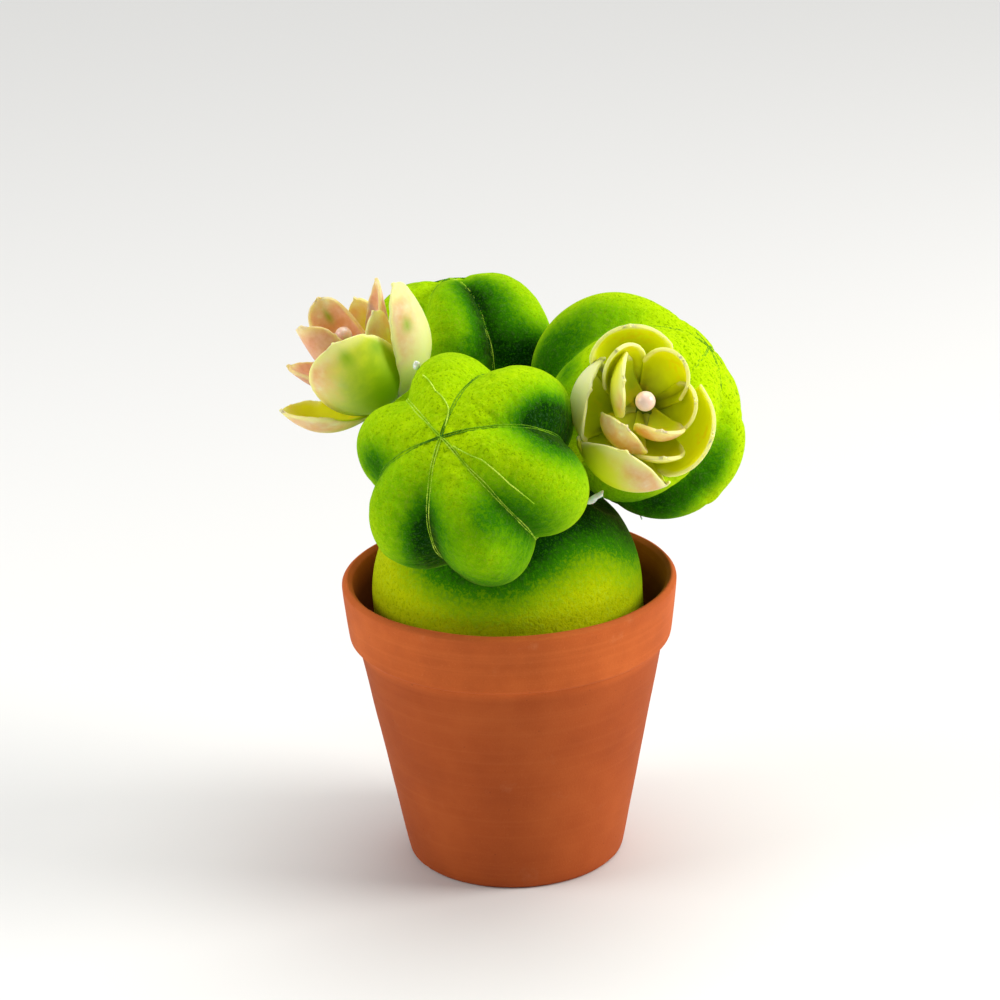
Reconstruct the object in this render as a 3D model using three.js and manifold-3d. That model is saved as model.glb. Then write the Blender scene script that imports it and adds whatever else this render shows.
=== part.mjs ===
// A make-believe mammillaria: three tied cloth balls and two soft plastic blooms
// on a stuffed cloth mound in a terracotta pot.
// Millimetres, +Z up. Sizes below are from the pot's axis and its foot, and the whole plant is
// then moved so that its origin is the middle of its outline on the ground.

import * as THREE from 'three';
import { mergeVertices } from 'three/addons/utils/BufferGeometryUtils.js';
import Module from 'manifold-3d';

const wasm = await Module();
wasm.setup();

// Pot, outer radii and heights
const POT_HEIGHT = 64;
const RIM_RADIUS = 36;
const RIM_ROUNDING = 0.9;
const SMALL_ROUNDING = 0.3;
const RIM_INNER_RADIUS = 33.8;
const COLLAR_FOOT_HEIGHT = 50.3;
const COLLAR_FOOT_RADIUS = 34.7;
const SHOULDER_RADIUS = 33;
const FOOT_RADIUS = 23.5;
const FLOOR_HEIGHT = 5;
const FLOOR_RADIUS = 21.3;
const WALL_STEP_HEIGHT = 49;
const WALL_STEP_RADIUS = 29.9;
const DRAIN_RADIUS = 5;
const POT_SIDES = 48;
const FOOT_CHAMFER = 0.8;
const COLLAR_UNDERSIDE = 0.7;
const WALL_HEIGHTS = [58, 52];

// Mound, which fills the pot and domes out of it
const MOUND_CENTRE = new THREE.Vector3(-0.5, -1.2, 60.8);
const MOUND_RADIUS = 29;
const MOUND_RISE = 28.2;
const MOUND_CLEARANCE = 0.5;
const SEAT_CLEARANCE = 2.3;
const MOUND_SIDES = 40;
const DOME_ROWS = 9;
const FILLING_ROWS = 5;

// Tied balls
const LOBES_PER_HEAD = 6;
const FACETS_PER_LOBE = 8;
const HEAD_ROWS = 14;
const THREAD_RADIUS = 0.4;
const THREAD_SIDES = 3;
const THREAD_LIFT = 0.85;
const THREAD_STEPS = 14;
const CROSSING_RADIUS = 0.75;

// depth is how far the threads draw the cloth in, as a share of the radius. Round both poles
// the ball stays drawn in: capWidth, in degrees, is how wide, and capEdge how sharply that ends.
// creases are the turns of the six thread lines about the ball's axis, in degrees.
const HEADS = [
  {
    name: 'front',
    centre: new THREE.Vector3(-6.9, -31, 99.4),
    axis: new THREE.Vector3(-0.312, -0.716, 0.624),
    radius: 24.8,
    depth: 0.235,
    capWidth: 50,
    capEdge: 2.4,
    creases: [10, 71, 128, 189, 248.5, 307.5],
    stemTurn: 220,
  },
  {
    name: 'right',
    centre: new THREE.Vector3(28.6, 4.7, 99.3),
    axis: new THREE.Vector3(0.751, -0.036, 0.659),
    radius: 25.8,
    depth: 0.235,
    capWidth: 53.5,
    capEdge: 3.2,
    creases: [359, 56, 126, 194.5, 259, 309],
    stemTurn: 287,
  },
  {
    name: 'back',
    centre: new THREE.Vector3(-9.2, 30.3, 102.3),
    axis: new THREE.Vector3(-0.103, 0.261, 0.96),
    radius: 23,
    depth: 0.23,
    capWidth: 35,
    capEdge: 2.4,
    creases: [0, 64, 114, 179, 244, 293],
    stemTurn: 30,
  },
];

// Pegs that hold the balls on the mound
const STEM_RADIUS = 1.4;
const STEM_LEAN = THREE.MathUtils.degToRad(16);
const STEM_START = 8;
const STEM_LENGTH = 30;
const HOLE_CLEARANCE = 0.4;
const PEG_SIDES = 10;

// Blooms
const PETAL_THICKNESS = 0.9;
const PETAL_STEPS = [0, 0.2, 0.4, 0.58, 0.74, 0.87, 0.96, 1];
const PETAL_STRIPS = 4;
const PETAL_BASE_WIDTH = 0.3;
const PETAL_WIDEST = 0.6;
const PETAL_TIP_WIDTH = 0.15;
const HUB_RADIUS = 2.6;
const HUB_THICKNESS = 1;
const HUB_SPACING = 2.3;
const PETAL_START = 0.8;
const BORE_BELOW = 5;
const BORE_ABOVE = 10;
const PIN_RADIUS = 0.6;
const BEAD_RADIUS = 2.1;

// Each petal: turn about the bloom's axis, reach and height of its tip, how far its belly swells
// out and at what height, half its width, the radius it is cupped to, how many degrees its tip
// leans to one side, and how blunt it ends, from 0, square, to 1, pointed.
const BLOOMS = [
  {
    name: 'right',
    hub: new THREE.Vector3(28, -18.6, 106.7),
    axis: new THREE.Vector3(0.075, -0.864, 0.498),
    pinLength: 10,
    beadHeight: 15.5,
    layers: {
      outer: [
        { turn: 102.1, reach: 15.2, height: 12.5, belly: 15.4, bellyHeight: 1.3,
          width: 9.7, cup: 11.7, lean: -7, blunt: 0.49 },
        { turn: 171.8, reach: 12, height: 13.2, belly: 20, bellyHeight: 1.7,
          width: 10.6, cup: 10.5, lean: -11, blunt: 0.36 },
        { turn: 246.1, reach: 12.6, height: 14.3, belly: 28, bellyHeight: 1.7,
          width: 12.6, cup: 12.2, lean: -7, blunt: 0.48 },
        { turn: 326.3, reach: 15.2, height: 13.8, belly: 15.6, bellyHeight: 0.5,
          width: 11.6, cup: 12.5, lean: 17, blunt: 0.48 },
      ],
      middle: [
        { turn: 123.8, reach: 11.1, height: 16.1, belly: 11.6, bellyHeight: 0.9,
          width: 6.2, cup: 7.5, lean: 6, blunt: 0.52 },
        { turn: 46, reach: 10, height: 15.5, belly: 12.8, bellyHeight: 1.2,
          width: 8.1, cup: 5.6, lean: -11, blunt: 0.46 },
        { turn: 355, reach: 9.6, height: 14.5, belly: 11, bellyHeight: 1,
          width: 5.8, cup: 6.8, lean: 9, blunt: 0.52 },
        { turn: 285, reach: 12.9, height: 13.4, belly: 14.3, bellyHeight: 0.9,
          width: 5.4, cup: 8.9, lean: -13, blunt: 0.48 },
      ],
      inner: [
        { turn: 228, reach: 8.2, height: 15.1, belly: 15.6, bellyHeight: 0.7,
          width: 5.6, cup: 7.2, lean: -7, blunt: 0.43 },
        { turn: 159, reach: 6, height: 17.2, belly: 11.2, bellyHeight: 0.4,
          width: 5.8, cup: 9, lean: 20, blunt: 0.4 },
        { turn: 281, reach: 7.3, height: 15.2, belly: 11, bellyHeight: 0.1,
          width: 4.4, cup: 5.8, lean: -20, blunt: 0.42 },
      ],
    },
  },
  {
    name: 'left',
    hub: new THREE.Vector3(-24.9, -5.6, 105.5),
    axis: new THREE.Vector3(-0.471, 0.015, 0.882),
    pinLength: 34,
    beadHeight: 17.5,
    layers: {
      outer: [
        { turn: 268.9, reach: 14.7, height: 19.6, belly: 13.2, bellyHeight: -0.9,
          width: 12.2, cup: 10, lean: 9, blunt: 0.44 },
        { turn: 344.8, reach: 16.3, height: 21.8, belly: 20.3, bellyHeight: 0.7,
          width: 9.1, cup: 9.2, lean: -8, blunt: 0.36 },
        { turn: 192, reach: 19.3, height: 9.9, belly: 16, bellyHeight: -2.6,
          width: 10.5, cup: 11.5, lean: 0, blunt: 0.52 },
        { turn: 80, reach: 14, height: 14, belly: 15, bellyHeight: 1,
          width: 9, cup: 11, lean: 0, blunt: 0.5 },
      ],
      middle: [
        { turn: 165.8, reach: 14.6, height: 15.6, belly: 9.8, bellyHeight: 1.7,
          width: 7.1, cup: 6.4, lean: 9, blunt: 0.56 },
        { turn: 28.7, reach: 12.5, height: 22.1, belly: 8.2, bellyHeight: 1.8,
          width: 5.7, cup: 5.6, lean: -8, blunt: 0.62 },
        { turn: 66.9, reach: 10.7, height: 19.9, belly: 12, bellyHeight: 1,
          width: 5.7, cup: 8, lean: -2, blunt: 0.51 },
        { turn: 326.2, reach: 10.5, height: 19.3, belly: 9, bellyHeight: 1.4,
          width: 5.6, cup: 6, lean: -4, blunt: 0.44 },
      ],
      inner: [
        { turn: 207, reach: 7.8, height: 23.4, belly: 8.6, bellyHeight: 1.3,
          width: 7.4, cup: 4.7, lean: 18, blunt: 0.36 },
        { turn: 106, reach: 7.5, height: 24.3, belly: 8.6, bellyHeight: 1.1,
          width: 6.3, cup: 5.5, lean: -18, blunt: 0.38 },
        { turn: 340, reach: 3.8, height: 14.5, belly: 5, bellyHeight: 1.4,
          width: 3.2, cup: 6, lean: 0, blunt: 0.5 },
      ],
    },
  },
];

// Finishes
const TERRACOTTA = { color: 0xb8602f, roughness: 0.85, metalness: 0 };
const CLOTH = { color: 0x7fb000, roughness: 0.95, metalness: 0 };
const THREAD = { color: 0x3a7f0d, roughness: 0.8, metalness: 0 };
const PEG = { color: 0x8a8378, roughness: 0.6, metalness: 0 };
const BEAD = { color: 0xe1b18b, roughness: 0.35, metalness: 0 };
const PETALS = {
  outer: { color: 0xacb740, roughness: 0.45, metalness: 0 },
  middle: { color: 0xb0a845, roughness: 0.45, metalness: 0 },
  inner: { color: 0xc99a60, roughness: 0.45, metalness: 0 },
};

const plant = new THREE.Group();

function addPiece(name, geometry, finish) {
  geometry.computeVertexNormals();
  const piece = new THREE.Mesh(geometry, new THREE.MeshStandardMaterial(finish));
  piece.name = name;
  plant.add(piece);
}

// Solids for joining and cutting

function toSolid(geometry) {
  const bare = geometry.clone();
  bare.deleteAttribute('normal');
  bare.deleteAttribute('uv');
  const merged = mergeVertices(bare, 1e-4);
  return new wasm.Manifold(new wasm.Mesh({
    numProp: 3,
    vertProperties: new Float32Array(merged.attributes.position.array),
    triVerts: new Uint32Array(merged.index.array),
  }));
}

function toGeometry(solid) {
  const mesh = solid.getMesh();
  const geometry = new THREE.BufferGeometry();
  geometry.setAttribute('position', new THREE.BufferAttribute(mesh.vertProperties, 3));
  geometry.setIndex(new THREE.BufferAttribute(mesh.triVerts, 1));
  return geometry;
}

function joined(geometries) {
  return geometries.map(toSolid).reduce((whole, next) => whole.add(next));
}

// A closed skin from one point at the top, through rings of points, to one point at the bottom
function closedSkin(top, rings, bottom) {
  const sides = rings[0].length;
  const points = [top, ...rings.flat(), bottom];
  const last = points.length - 1;
  const faces = [];
  for (let i = 0; i < sides; i += 1) {
    const next = (i + 1) % sides;
    faces.push(0, 1 + i, 1 + next);
    for (let row = 0; row < rings.length - 1; row += 1) {
      const upper = 1 + row * sides;
      const lower = upper + sides;
      faces.push(upper + i, lower + i, lower + next);
      faces.push(upper + i, lower + next, upper + next);
    }
    const lowest = 1 + (rings.length - 1) * sides;
    faces.push(lowest + i, last, lowest + next);
  }
  const geometry = new THREE.BufferGeometry().setFromPoints(points);
  geometry.setIndex(faces);
  return geometry;
}

// A round peg from one point to another
function peg(start, end, radius) {
  const along = new THREE.Vector3().subVectors(end, start);
  const geometry = new THREE.CylinderGeometry(radius, radius, along.length(), PEG_SIDES);
  const upright = new THREE.Vector3(0, 1, 0);
  const turn = new THREE.Quaternion().setFromUnitVectors(upright, along.clone().normalize());
  geometry.applyQuaternion(turn);
  const middle = new THREE.Vector3().addVectors(start, end).multiplyScalar(0.5);
  return geometry.translate(middle.x, middle.y, middle.z);
}

// Directions across an axis: the first is as near +X as it can be, the second a quarter turn on
function frameOn(axis) {
  const along = axis.clone().normalize();
  const first = new THREE.Vector3(1, 0, 0).addScaledVector(along, -along.x).normalize();
  const second = new THREE.Vector3().crossVectors(along, first);
  return { along, first, second };
}

function sideways(frame, turn) {
  const direction = frame.first.clone().multiplyScalar(Math.cos(turn));
  return direction.addScaledVector(frame.second, Math.sin(turn));
}

// Pot: turned clay with a thick collar and a drain hole

function innerWallRadius(height) {
  if (height > WALL_STEP_HEIGHT) {
    const share = (height - WALL_STEP_HEIGHT) / (POT_HEIGHT - WALL_STEP_HEIGHT);
    return THREE.MathUtils.lerp(WALL_STEP_RADIUS, RIM_INNER_RADIUS, Math.sqrt(share));
  }
  const share = (height - FLOOR_HEIGHT) / (WALL_STEP_HEIGHT - FLOOR_HEIGHT);
  return THREE.MathUtils.lerp(FLOOR_RADIUS, WALL_STEP_RADIUS, share);
}

function potGeometry() {
  const profile = [
    [DRAIN_RADIUS, 0],
    [FOOT_RADIUS - FOOT_CHAMFER, 0],
    [FOOT_RADIUS, FOOT_CHAMFER],
    [SHOULDER_RADIUS, COLLAR_FOOT_HEIGHT],
    [COLLAR_FOOT_RADIUS - COLLAR_UNDERSIDE, COLLAR_FOOT_HEIGHT],
    [COLLAR_FOOT_RADIUS, COLLAR_FOOT_HEIGHT + COLLAR_UNDERSIDE],
    [RIM_RADIUS, POT_HEIGHT - RIM_ROUNDING],
    [RIM_RADIUS - SMALL_ROUNDING, POT_HEIGHT - SMALL_ROUNDING],
    [RIM_RADIUS - RIM_ROUNDING, POT_HEIGHT],
    [RIM_INNER_RADIUS + RIM_ROUNDING, POT_HEIGHT - SMALL_ROUNDING],
    [RIM_INNER_RADIUS, POT_HEIGHT - RIM_ROUNDING],
    ...WALL_HEIGHTS.map((height) => [innerWallRadius(height), height]),
    [WALL_STEP_RADIUS, WALL_STEP_HEIGHT],
    [FLOOR_RADIUS, FLOOR_HEIGHT],
    [DRAIN_RADIUS, FLOOR_HEIGHT],
    [DRAIN_RADIUS, 0],
  ].map(([radius, height]) => new THREE.Vector2(radius, height));
  return new THREE.LatheGeometry(profile, POT_SIDES).rotateX(Math.PI / 2);
}

// Mound: a stuffed ball of cloth that takes the pot's shape below its rim

function moundGeometry() {
  const ring = (radius, height, centre) => {
    const points = [];
    for (let i = 0; i < MOUND_SIDES; i += 1) {
      const turn = (i / MOUND_SIDES) * 2 * Math.PI;
      const x = centre.x + radius * Math.cos(turn);
      const y = centre.y + radius * Math.sin(turn);
      points.push(new THREE.Vector3(x, y, height));
    }
    return points;
  };
  const rings = [];
  for (let row = 1; row <= DOME_ROWS; row += 1) {
    const angle = (row / DOME_ROWS) * (Math.PI / 2);
    const height = MOUND_CENTRE.z + MOUND_RISE * Math.cos(angle);
    rings.push(ring(MOUND_RADIUS * Math.sin(angle), height, MOUND_CENTRE));
  }
  const shift = Math.hypot(MOUND_CENTRE.x, MOUND_CENTRE.y);
  const lowest = FLOOR_HEIGHT + MOUND_CLEARANCE;
  for (let row = 1; row <= FILLING_ROWS; row += 1) {
    const share = (row / FILLING_ROWS) ** 1.5;
    const height = THREE.MathUtils.lerp(MOUND_CENTRE.z, lowest, share);
    const offset = Math.max(0, 1 - row / 2);
    const room = innerWallRadius(height) - MOUND_CLEARANCE - offset * shift;
    const centre = MOUND_CENTRE.clone().multiplyScalar(offset);
    rings.push(ring(Math.min(MOUND_RADIUS, room), height, centre));
  }
  const top = MOUND_CENTRE.clone().setZ(MOUND_CENTRE.z + MOUND_RISE);
  return closedSkin(top, rings, new THREE.Vector3(0, 0, lowest));
}

// Tied balls: each crease follows a thread, and the cloth swells into a lobe between two of them

// How far the cloth has swollen at a share of the way from one crease to the next
const swell = (share) => Math.sin(Math.PI * share);

function ballRadius(head, fromPole, share) {
  const toPole = Math.min(fromPole, Math.PI - fromPole);
  const cap = Math.exp(-((toPole / THREE.MathUtils.degToRad(head.capWidth)) ** head.capEdge));
  return head.radius * (1 - head.depth * (1 - swell(share) * (1 - cap)));
}

function ballPoint(head, fromPole, turn, share, lift = 0) {
  const frame = frameOn(head.axis);
  const radius = ballRadius(head, fromPole, share) + lift;
  const point = head.centre.clone().addScaledVector(frame.along, radius * Math.cos(fromPole));
  return point.addScaledVector(sideways(frame, turn), radius * Math.sin(fromPole));
}

function ballGeometry(head, lift = 0) {
  const columns = [];
  head.creases.forEach((start, lobe) => {
    const following = head.creases[(lobe + 1) % LOBES_PER_HEAD];
    const span = (following - start + 360) % 360;
    for (let facet = 0; facet < FACETS_PER_LOBE; facet += 1) {
      const share = facet / FACETS_PER_LOBE;
      columns.push({ turn: THREE.MathUtils.degToRad(start + span * share), share });
    }
  });
  const rings = [];
  for (let row = 1; row < HEAD_ROWS; row += 1) {
    const fromPole = (row / HEAD_ROWS) * Math.PI;
    rings.push(columns.map(({ turn, share }) => ballPoint(head, fromPole, turn, share, lift)));
  }
  return closedSkin(ballPoint(head, 0, 0, 0, lift), rings, ballPoint(head, Math.PI, 0, 0, lift));
}

// One length of thread, from pole to pole along a crease
class CreaseLine extends THREE.Curve {
  constructor(head, degrees) {
    super();
    this.head = head;
    this.turn = THREE.MathUtils.degToRad(degrees);
  }

  getPoint(share, target = new THREE.Vector3()) {
    return target.copy(ballPoint(this.head, share * Math.PI, this.turn, 0, THREAD_LIFT));
  }
}

function threadGeometry(head) {
  const corners = [];
  for (let corner = 0; corner < THREAD_SIDES; corner += 1) {
    const turn = (corner / THREAD_SIDES) * 2 * Math.PI;
    corners.push(new THREE.Vector2(Math.cos(turn), Math.sin(turn)).multiplyScalar(THREAD_RADIUS));
  }
  const section = new THREE.Shape(corners);
  const lengths = head.creases.map((degrees) => new THREE.ExtrudeGeometry(section, {
    steps: THREAD_STEPS,
    extrudePath: new CreaseLine(head, degrees),
  }));
  const crossings = [0, Math.PI].map((fromPole) => {
    const { x, y, z } = ballPoint(head, fromPole, 0, 0, THREAD_LIFT + CROSSING_RADIUS / 2);
    return new THREE.SphereGeometry(CROSSING_RADIUS, 8, 4).translate(x, y, z);
  });
  return toGeometry(joined([...lengths, ...crossings]));
}

// Pegs: each goes in beside the ball's lower pole, between two threads, and points at its middle

function stemEnds(head) {
  const frame = frameOn(head.axis);
  const turn = THREE.MathUtils.degToRad(head.stemTurn);
  const direction = frame.along.clone().multiplyScalar(-Math.cos(STEM_LEAN));
  direction.addScaledVector(sideways(frame, turn), Math.sin(STEM_LEAN));
  const start = head.centre.clone().addScaledVector(direction, STEM_START);
  const end = head.centre.clone().addScaledVector(direction, STEM_START + STEM_LENGTH);
  const holeStart = start.clone().addScaledVector(direction, -HOLE_CLEARANCE);
  const holeEnd = end.clone().addScaledVector(direction, HOLE_CLEARANCE);
  return { start, end, holeStart, holeEnd };
}

function stemGeometry(head) {
  const { start, end } = stemEnds(head);
  return peg(start, end, STEM_RADIUS);
}

function stemHole(head) {
  const { holeStart, holeEnd } = stemEnds(head);
  return toSolid(peg(holeStart, holeEnd, STEM_RADIUS + HOLE_CLEARANCE));
}

// Blooms: rings of cupped petals, one above the other on a pin with a bead for its head

// Half the petal's width, from its foot at 0 to its tip at 1
function petalWidth(petal, share) {
  if (share < PETAL_WIDEST) {
    const grown = Math.sin((share / PETAL_WIDEST) * (Math.PI / 2));
    return petal.width * THREE.MathUtils.lerp(PETAL_BASE_WIDTH, 1, grown);
  }
  const beyond = (share - PETAL_WIDEST) / (1 - PETAL_WIDEST);
  return petal.width * Math.max(PETAL_TIP_WIDTH, (1 - beyond ** 2.2) ** petal.blunt);
}

// A petal is arched along its middle line and cupped across it, in the bloom's own frame,
// and both its faces are split into the same triangles
function petalGeometry(bloom, petal, footHeight) {
  const frame = frameOn(bloom.axis);
  const turn = THREE.MathUtils.degToRad(petal.turn);
  const outward = sideways(frame, turn);
  const level = sideways(frame, turn + Math.PI / 2);
  const middleLine = new THREE.QuadraticBezierCurve(
    new THREE.Vector2(PETAL_START, footHeight),
    new THREE.Vector2(petal.belly, footHeight + petal.bellyHeight),
    new THREE.Vector2(petal.reach, petal.height),
  );
  const faces = [[], []];
  PETAL_STEPS.forEach((share) => {
    const { x: out, y: up } = middleLine.getPoint(share);
    const slope = middleLine.getTangent(share);
    const inner = outward.clone().multiplyScalar(-slope.y).addScaledVector(frame.along, slope.x);
    const lean = THREE.MathUtils.degToRad(petal.lean * share);
    const across = level.clone().multiplyScalar(Math.cos(lean));
    across.addScaledVector(inner, Math.sin(lean));
    const inward = inner.clone().multiplyScalar(Math.cos(lean));
    inward.addScaledVector(level, -Math.sin(lean));
    const line = bloom.hub.clone().addScaledVector(outward, out).addScaledVector(frame.along, up);
    for (let strip = 0; strip <= PETAL_STRIPS; strip += 1) {
      const aside = (2 * strip) / PETAL_STRIPS - 1;
      const arc = (aside * petalWidth(petal, share)) / petal.cup;
      const normal = inward.clone().multiplyScalar(Math.cos(arc));
      normal.addScaledVector(across, -Math.sin(arc));
      const middle = line.clone().addScaledVector(across, petal.cup * Math.sin(arc));
      middle.addScaledVector(inward, petal.cup * (1 - Math.cos(arc)));
      faces[0].push(middle.clone().addScaledVector(normal, PETAL_THICKNESS / 2));
      faces[1].push(middle.clone().addScaledVector(normal, -PETAL_THICKNESS / 2));
    }
  });
  const count = faces[0].length;
  const line = PETAL_STRIPS + 1;
  const triangles = [];
  for (let row = 0; row < PETAL_STEPS.length - 1; row += 1) {
    for (let strip = 0; strip < PETAL_STRIPS; strip += 1) {
      const a = row * line + strip;
      const [b, c, d] = [a + 1, a + line, a + line + 1];
      triangles.push(a, d, b, a, c, d);
      triangles.push(count + a, count + b, count + d, count + a, count + d, count + c);
    }
  }
  const edge = [];
  for (let strip = 0; strip < PETAL_STRIPS; strip += 1) edge.push(strip);
  for (let row = 0; row < PETAL_STEPS.length - 1; row += 1) edge.push(row * line + PETAL_STRIPS);
  for (let strip = PETAL_STRIPS; strip > 0; strip -= 1) edge.push(count - line + strip);
  for (let row = PETAL_STEPS.length - 1; row > 0; row -= 1) edge.push(row * line);
  edge.forEach((from, i) => {
    const to = edge[(i + 1) % edge.length];
    triangles.push(from, count + to, count + from, from, to, count + to);
  });
  const geometry = new THREE.BufferGeometry().setFromPoints([...faces[0], ...faces[1]]);
  geometry.setIndex(triangles);
  return geometry;
}

function alongBloom(bloom, height) {
  const { along } = frameOn(bloom.axis);
  return bloom.hub.clone().addScaledVector(along, height);
}

function petalRing(bloom, layer, order) {
  const footHeight = order * HUB_SPACING;
  const hubStart = alongBloom(bloom, footHeight - HUB_THICKNESS / 2);
  const hubEnd = alongBloom(bloom, footHeight + HUB_THICKNESS / 2);
  const petals = bloom.layers[layer].map((petal) => petalGeometry(bloom, petal, footHeight));
  const ring = joined([peg(hubStart, hubEnd, HUB_RADIUS), ...petals]);
  const boreStart = alongBloom(bloom, -BORE_BELOW);
  const bore = peg(boreStart, alongBloom(bloom, BORE_ABOVE), PIN_RADIUS + HOLE_CLEARANCE);
  return ring.subtract(toSolid(bore));
}

function pinGeometry(bloom) {
  const bead = new THREE.SphereGeometry(BEAD_RADIUS, 12, 8);
  const centre = alongBloom(bloom, bloom.beadHeight);
  bead.translate(centre.x, centre.y, centre.z);
  const shank = peg(alongBloom(bloom, -bloom.pinLength), centre, PIN_RADIUS);
  return toGeometry(joined([shank, bead]));
}

function pinHole(bloom) {
  const start = alongBloom(bloom, -bloom.pinLength - HOLE_CLEARANCE);
  return toSolid(peg(start, bloom.hub, PIN_RADIUS + HOLE_CLEARANCE));
}

// Building the plant

addPiece('pot', toGeometry(toSolid(potGeometry())), TERRACOTTA);

const holes = [...HEADS.map(stemHole), ...BLOOMS.map(pinHole)];
const pierced = (geometry, cuts = holes) => toGeometry(cuts.reduce(
  (solid, cut) => solid.subtract(cut),
  toSolid(geometry),
));

// the mound gives way where a ball is pressed on it
const seats = HEADS.map((head) => toSolid(ballGeometry(head, SEAT_CLEARANCE)));

addPiece('base_mound', pierced(moundGeometry(), [...seats, ...holes]), CLOTH);
HEADS.forEach((head) => {
  addPiece(`head_${head.name}`, pierced(ballGeometry(head)), CLOTH);
  addPiece(`head_${head.name}_threads`, threadGeometry(head), THREAD);
  addPiece(`stem_${head.name}`, stemGeometry(head), PEG);
});
BLOOMS.forEach((bloom) => {
  Object.keys(bloom.layers).forEach((layer, order) => {
    const ring = petalRing(bloom, layer, order);
    addPiece(`flower_${bloom.name}_petals_${layer}`, toGeometry(ring), PETALS[layer]);
  });
  addPiece(`flower_${bloom.name}_pin`, pinGeometry(bloom), BEAD);
});

const outline = new THREE.Box3().setFromObject(plant);
const middle = outline.getCenter(new THREE.Vector3());
plant.position.set(-middle.x, -middle.y, 0);

export default plant;
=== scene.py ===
import math

import bmesh
import bpy
from mathutils import Matrix, Vector, noise


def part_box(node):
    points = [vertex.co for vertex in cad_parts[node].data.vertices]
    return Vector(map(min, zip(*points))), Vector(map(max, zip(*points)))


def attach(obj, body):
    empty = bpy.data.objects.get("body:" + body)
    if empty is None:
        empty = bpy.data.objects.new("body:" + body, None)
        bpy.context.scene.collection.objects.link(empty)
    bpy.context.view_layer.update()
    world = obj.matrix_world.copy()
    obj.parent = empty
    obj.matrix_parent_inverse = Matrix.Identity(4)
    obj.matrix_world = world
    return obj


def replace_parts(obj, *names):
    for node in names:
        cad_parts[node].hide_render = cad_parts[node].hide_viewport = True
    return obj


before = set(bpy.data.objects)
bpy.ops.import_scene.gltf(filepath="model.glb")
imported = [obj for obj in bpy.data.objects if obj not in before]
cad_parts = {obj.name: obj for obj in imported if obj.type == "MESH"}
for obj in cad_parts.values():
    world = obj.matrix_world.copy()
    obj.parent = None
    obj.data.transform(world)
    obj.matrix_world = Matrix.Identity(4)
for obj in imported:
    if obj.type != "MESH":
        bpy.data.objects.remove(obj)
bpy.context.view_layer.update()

# Studio: a pale floor, soft lamps on both sides and above, and a camera that looks down on the
# pot a little. Here and below, sizes are in millimetres, turns and tilts are in degrees, and
# places are measured from the foot of the pot's axis.

MM = 0.001
FLOOR_METRES = 8
FLOOR_COLOUR = (0.80, 0.79, 0.77, 1)
CAMERA_PLACE = (-1.5, -696.8, 345.6)
CAMERA_TILT = 69.18
CAMERA_ROLL = -1.7
CAMERA_LENS = 126
CAMERA_NEAREST = 10
# Each lamp: its name, its place, how wide it is, its power and its colour.
LAMPS = (
    ("right", (720, -90, 460), 420, 5.4, (1, 0.99, 0.96)),
    ("left", (-680, -160, 420), 450, 2.6, (0.97, 0.99, 1)),
)
TOP_PLACE = (0, 0, 900)
TOP_STRENGTH = 1.9
TOP_SOFTNESS = 50
TOP_TILT = (-12, 8)
SKY_STRENGTH = 0.24
SKY_COLOUR = (0.95, 0.98, 1, 1)
AIM = (0, 0, 85)

pot_low, pot_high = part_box("pot")
POT_AXIS = Vector(((pot_low.x + pot_high.x) / 2, (pot_low.y + pot_high.y) / 2, 0))


def from_pot(x, y, z):
    """A place in metres in the row frame, from millimetres from the foot of the pot's axis."""
    return POT_AXIS + Vector((x, y, z)) * MM


for name, place, size, power, colour in LAMPS:
    bpy.ops.object.light_add(type="AREA", location=from_pot(*place))
    lamp = bpy.context.object
    lamp.name = "lamp_" + name
    lamp.data.shape = "DISK"
    lamp.data.size = size * MM
    lamp.data.energy = power
    lamp.data.color = colour
    aim = from_pot(*AIM) - lamp.location
    lamp.rotation_euler = aim.to_track_quat("-Z", "Y").to_euler()

bpy.ops.object.light_add(type="SUN", location=from_pot(*TOP_PLACE))
top_light = bpy.context.object
top_light.name = "lamp_top"
top_light.data.energy = TOP_STRENGTH
top_light.data.angle = math.radians(TOP_SOFTNESS)
top_light.rotation_euler = (math.radians(TOP_TILT[0]), math.radians(TOP_TILT[1]), 0)

sky = bpy.data.worlds.new("sky")
sky.use_nodes = True
sky_light = sky.node_tree.nodes["Background"]
sky_light.inputs["Color"].default_value = SKY_COLOUR
sky_light.inputs["Strength"].default_value = SKY_STRENGTH
bpy.context.scene.world = sky
bpy.context.scene.view_settings.view_transform = "Standard"

bpy.ops.object.camera_add(location=from_pot(*CAMERA_PLACE))
camera = bpy.context.object
tilt = Matrix.Rotation(math.radians(CAMERA_TILT), 3, "X")
roll = Matrix.Rotation(math.radians(CAMERA_ROLL), 3, "Z")
camera.rotation_euler = (tilt @ roll).to_euler()
camera.data.lens = CAMERA_LENS
camera.data.clip_start = CAMERA_NEAREST * MM
bpy.context.scene.camera = camera

bpy.ops.mesh.primitive_plane_add(size=FLOOR_METRES)
floor = bpy.context.object
floor.name = "floor"
floor_finish = bpy.data.materials.new("pale_floor")
floor_finish.use_nodes = True
floor_shader = floor_finish.node_tree.nodes["Principled BSDF"]
floor_shader.inputs["Base Color"].default_value = FLOOR_COLOUR
floor_shader.inputs["Roughness"].default_value = 0.9
floor.data.materials.append(floor_finish)

# Pot: one piece of red clay, turned on a wheel and fired without glaze, with a thick collar
# and a drain hole. Its section is given as radius and height, from the hole round to the hole,
# and a ring of clay is drawn out along it.

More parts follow.
